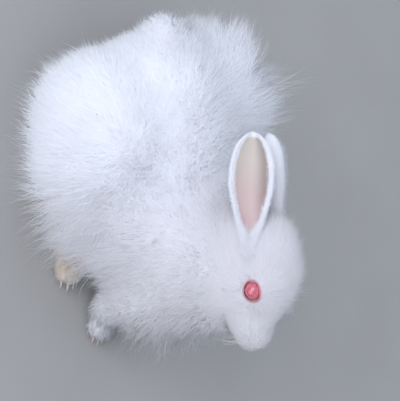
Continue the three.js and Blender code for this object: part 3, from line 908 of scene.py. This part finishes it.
room = np.where(face_part[pick] == EYELID, SHORTEST_FACE_FUR, room + 5.5 * forehead + 7 * cheek)
middle, tip = grow(root, outward, lie, room, 0.8, 0.3, rng)
by_ear = sum(1 - smooth(np.linalg.norm(in_head(root) - [-EAR_SET_BACK, side * out, height], axis=1), 10, 17)
             for side, out, height, *_ in EARS.values())
flat = ((3.2 + 6 * long_fur + 5 * by_ear) * rng.uniform(0.7, 1.1, FACE_STRANDS))[:, None]
middle, tip = middle + lie * flat * 0.4, tip + lie * flat
middle, tip = draw_together(root, middle, tip, FACE_LOCKS, rng.uniform(0.1, 0.5, FACE_STRANDS), rng)
tip += rng.normal(size=tip.shape) * (0.25 + 1.1 * long_fur + 0.9 * forehead + 0.9 * cheek)[:, None]
tip = np.minimum(tip, coat_high + [0, 0, CROWN_FRINGE])
width = rng.uniform(0.24, 0.4, FACE_STRANDS)
from_right = np.array_split(np.argsort(in_head(root)[:, 1]), 2)
for name, chosen in zip(("fur_face_right", "fur_face_left"), from_right):
    grown = blades(root[chosen], middle[chosen], tip[chosen], width[chosen], outward[chosen],
                   root_uv[chosen], rng)
    coat_piece(name, *grown, face_wool, "face_wool", solid=False)


# The fur of the ears: very short on the back, and a thick soft white rim that curls over the pink skin and
# closes over it at the ear's root.
EAR_STRANDS = 7000
rng = np.random.default_rng(31)
for part, name in ((RIGHT_EAR, "right"), (LEFT_EAR, "left")):
    rim = from_rim(face_place[:, 0], face_place[:, 1])
    inner = face_place[:, 2] > 0.5
    weight = np.where(inner, smooth(-rim, -6, -3) * 2.2, 0.8 + 2.5 * smooth(-rim, -5, -1.5))
    weight = weight * (1 + 1.5 * smooth(-face_place[:, 0], -0.3, -0.1)) * (face_part == part)
    pick, root, outward, root_uv = scatter(EAR_STRANDS, weight, rng)
    t, share, inside = face_place[pick].T
    t = np.clip(t, -0.08, 0.97)
    here, ahead, beside, middle_line = [ear_placed(ear_leaf(t + a, share * b, np.ones(len(t))), *EARS[name])
                                        for a, b in ((0, 1), (0.02, 1), (0, 0.9), (0, 0))]
    along, edgeward = unit(ahead - here), unit(here - beside)
    opening = ear_placed(np.array([[0, 0, 1.0]]), *EARS[name]) - ear_placed(np.zeros((1, 3)), *EARS[name])
    near_rim = smooth(-rim[pick], -5, -0.5)[:, None]
    inside = inside[:, None]
    closing = smooth(-t, -0.32, -0.1)[:, None]
    inward = -unit(here - middle_line) * np.abs(share)[:, None]
    way = unit(outward * (0.35 + 0.3 * inside) * (1 - 0.6 * near_rim) + along * (1 - 0.4 * near_rim)
               + (opening * 0.6 + edgeward * 0.35 * (1 - closing) + inward * closing) * near_rim
               + rng.normal(size=root.shape) * (0.15 + 0.13 * near_rim))
    reach = (2.4 + (2.6 + 4 * closing[:, 0]) * near_rim[:, 0]) * rng.uniform(0.6, 1.15, len(root))
    reach *= 1 - 0.55 * smooth(t, 0.86, 0.97)
    tip = root + way * reach[:, None]
    middle = root + unit(outward * 0.7 + way) * reach[:, None] * 0.5
    width = rng.uniform(0.26, 0.42, len(root))
    lit_from = unit(outward + opening * 1.5 * near_rim)
    grown = blades(root, middle, tip, width, lit_from, root_uv, rng)
    coat_piece("fur_ear_" + name, *grown, body_wool, "ear_skin", solid=False)


# The fur of the feet: short and dense, it lies towards the toes, stained tan on the hind feet.
FOOT_STRANDS = 9000
FOOT_LOCKS = 1200
DEEPEST_FOOT_FUR = 9.0
FORE_FEET_FROM = 90
# The stain is tan over the foot and clears to white at the toes.
foot_fur = wool("stained_fur_of_the_hind_feet", "#CDB28C", "#EDECED", 0.05, 0.064)
rng = np.random.default_rng(41)
_, root, outward, root_uv = scatter(FOOT_STRANDS, on_foot & (face_middle[:, 2] > 0.8), rng)
lie = along_skin(np.broadcast_to(np.array([0.8, 0, -0.5]), root.shape), outward)
fore = root[:, 0] >= FORE_FEET_FROM
room = room_along(root, outward, body_outline, DEEPEST_FOOT_FUR)
room = np.clip(room, np.where(fore, 3.5, 1.5), DEEPEST_FOOT_FUR) * rng.uniform(0.7, 1.15, FOOT_STRANDS)
middle, tip = grow(root, outward, lie, room, 0.9, 0.24, rng)
tip += lie * rng.uniform(1, 3, FOOT_STRANDS)[:, None]
tip[:, 2] = np.maximum(tip[:, 2], SOLE_HEIGHT)
middle, tip = draw_together(root, middle, tip, FOOT_LOCKS, rng.uniform(0.2, 0.6, FOOT_STRANDS), rng)
width = rng.uniform(0.28, 0.46, FOOT_STRANDS)
# The fore feet wear the face's wool, so they carry its painted shade, darker towards the toes.
for name, chosen, look, slot in (("fur_hind_feet", ~fore, foot_fur, "foot_fur"),
                                 ("fur_fore_feet", fore, face_wool, "body_wool")):
    grown = blades(root[chosen], middle[chosen], tip[chosen], width[chosen], outward[chosen],
                   root_uv[chosen], rng)
    coat_piece(name, *grown, look, slot)


# The claws: short curved cones of pinkish horn, one on each toe, their roots in the fur. One claw is drawn
# along its curve and set on the point of every toe. The points are that far ahead of the toe's middle and
# below it, and the first part of the claw is in the fur.
HIND_TOE_POINT = (10.5, -1.0)
FORE_TOE_POINT = (8.0, -1.4)
CLAW_IN_FUR = 0.45
CLAW_LENGTH = 6.0
CLAW_DROOP = 2.6
CLAW_ROOT = 1.2
CLAW_TIP = 0.25
CLAW_FLATNESS = 0.75
# Horn is smooth, slightly glossy and lets a little light in.
horn, tree, shader = material_of("pinkish_claw_horn")
shader.inputs["Base Color"].default_value = srgb("#E0CDC4")
shader.inputs["Roughness"].default_value = 0.35
shader.inputs["Subsurface Weight"].default_value = 0.25
shader.inputs["Subsurface Scale"].default_value = 0.001
claw_tree = bpy.data.node_groups.new("claw_on_each_toe", "GeometryNodeTree")
claw_tree.interface.new_socket("Toes", in_out="INPUT", socket_type="NodeSocketGeometry")
claw_sizes = {"Length": CLAW_LENGTH, "Droop": CLAW_DROOP, "Root Radius": CLAW_ROOT, "Tip Radius": CLAW_TIP}
for name in claw_sizes:
    claw_tree.interface.new_socket(name, in_out="INPUT", socket_type="NodeSocketFloat")
claw_tree.interface.new_socket("Claws", in_out="OUTPUT", socket_type="NodeSocketGeometry")
given = node(claw_tree, "NodeGroupInput")
half_way = node(claw_tree, "ShaderNodeMath", {0: given.outputs["Length"], 1: 0.5}, operation="MULTIPLY")
downwards = node(claw_tree, "ShaderNodeMath", {0: given.outputs["Droop"], 1: -1.0}, operation="MULTIPLY")
bend = node(claw_tree, "ShaderNodeCombineXYZ", {"X": half_way.outputs[0]})
point = node(claw_tree, "ShaderNodeCombineXYZ", {"X": given.outputs["Length"], "Z": downwards.outputs[0]})
curve = node(claw_tree, "GeometryNodeCurveQuadraticBezier", {
    "Resolution": 6, "Start": (0, 0, 0), "Middle": bend.outputs[0], "End": point.outputs[0]})
how_far = node(claw_tree, "GeometryNodeSplineParameter")
radius = node(claw_tree, "ShaderNodeMapRange", {
    "Value": how_far.outputs["Factor"], "To Min": given.outputs["Root Radius"],
    "To Max": given.outputs["Tip Radius"]})
round_section = node(claw_tree, "GeometryNodeCurvePrimitiveCircle", {"Resolution": 10, "Radius": 1.0})
cone = node(claw_tree, "GeometryNodeCurveToMesh", {
    "Curve": curve.outputs[0], "Scale": radius.outputs[0], "Profile Curve": round_section.outputs[0],
    "Fill Caps": True})
narrowed = node(claw_tree, "GeometryNodeTransform", {"Geometry": cone.outputs[0],
                                                     "Scale": (1, CLAW_FLATNESS, 1)})
on_toes = node(claw_tree, "GeometryNodeInstanceOnPoints", {"Points": given.outputs["Toes"],
                                                           "Instance": narrowed.outputs[0]})
plain = node(claw_tree, "GeometryNodeRealizeInstances", {"Geometry": on_toes.outputs[0]})
smoothed = node(claw_tree, "GeometryNodeSetShadeSmooth", {"Geometry": plain.outputs[0]})
of_horn = node(claw_tree, "GeometryNodeSetMaterial", {"Geometry": smoothed.outputs[0], "Material": horn})
node(claw_tree, "NodeGroupOutput", {"Claws": of_horn.outputs[0]})

claw_roots = [(toe[0] + ahead - CLAW_LENGTH * CLAW_IN_FUR, toe[1], toe[2] + low)
              for toe, (ahead, low) in zip(TOES, 8 * [HIND_TOE_POINT] + 8 * [FORE_TOE_POINT])]
claws = mesh_object("claws", to_model(claw_roots), np.zeros((0, 3), int))
growing = claws.modifiers.new("claw_on_each_toe", "NODES")
growing.node_group = claw_tree
for socket in claw_tree.interface.items_tree:
    if socket.name in claw_sizes:
        growing[socket.identifier] = claw_sizes[socket.name] * 0.001
grown_claws = claws.evaluated_get(bpy.context.evaluated_depsgraph_get())
claws.data = bpy.data.meshes.new_from_object(grown_claws)
claws.modifiers.remove(growing)
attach(claws, "root")


# The whiskers: long stiff white hairs on both lips and over the eyes, each a thin blade of the coat's kind.
WHISKERS = 34
LIP_WHISKERS = 28
WHISKER_WIDTH = 0.3
WHISKER_SAG = (-3.0, 0, -3.0)
WHISKER_SEGMENTS = 5
rng = np.random.default_rng(53)
side = np.where(np.arange(WHISKERS) % 2 == 0, -1.0, 1.0)
on_lip = np.arange(WHISKERS) < LIP_WHISKERS
lip_root = np.stack([rng.uniform(27, 37, WHISKERS), side * rng.uniform(6.5, 9.5, WHISKERS),
                     rng.uniform(-19.5, -11, WHISKERS)], -1)
brow_root = np.stack([rng.uniform(-4, 3, WHISKERS), side * 15, rng.uniform(10, 12, WHISKERS)], -1)
base = np.where(on_lip[:, None], lip_root, brow_root)
length = np.where(on_lip, rng.uniform(20, 34, WHISKERS), rng.uniform(12, 20, WHISKERS))[:, None]
ahead = rng.uniform(-0.3, 0.5, WHISKERS)
upward = rng.uniform(-0.35, 0.35, WHISKERS) + 1.6 * ~on_lip
way = unit(np.stack([ahead, side, upward], -1))
middle = base + way * length * 0.5
tip = base + way * length + np.array(WHISKER_SAG)
width = np.full(WHISKERS, WHISKER_WIDTH)
grown = blades(of_head(base), of_head(middle), of_head(tip), width, way @ HEAD_AXES,
               rng.uniform(0.4, 0.6, (WHISKERS, 2)), rng, WHISKER_SEGMENTS)
coat_piece("whiskers", *grown, body_wool, "face_wool", solid=False)
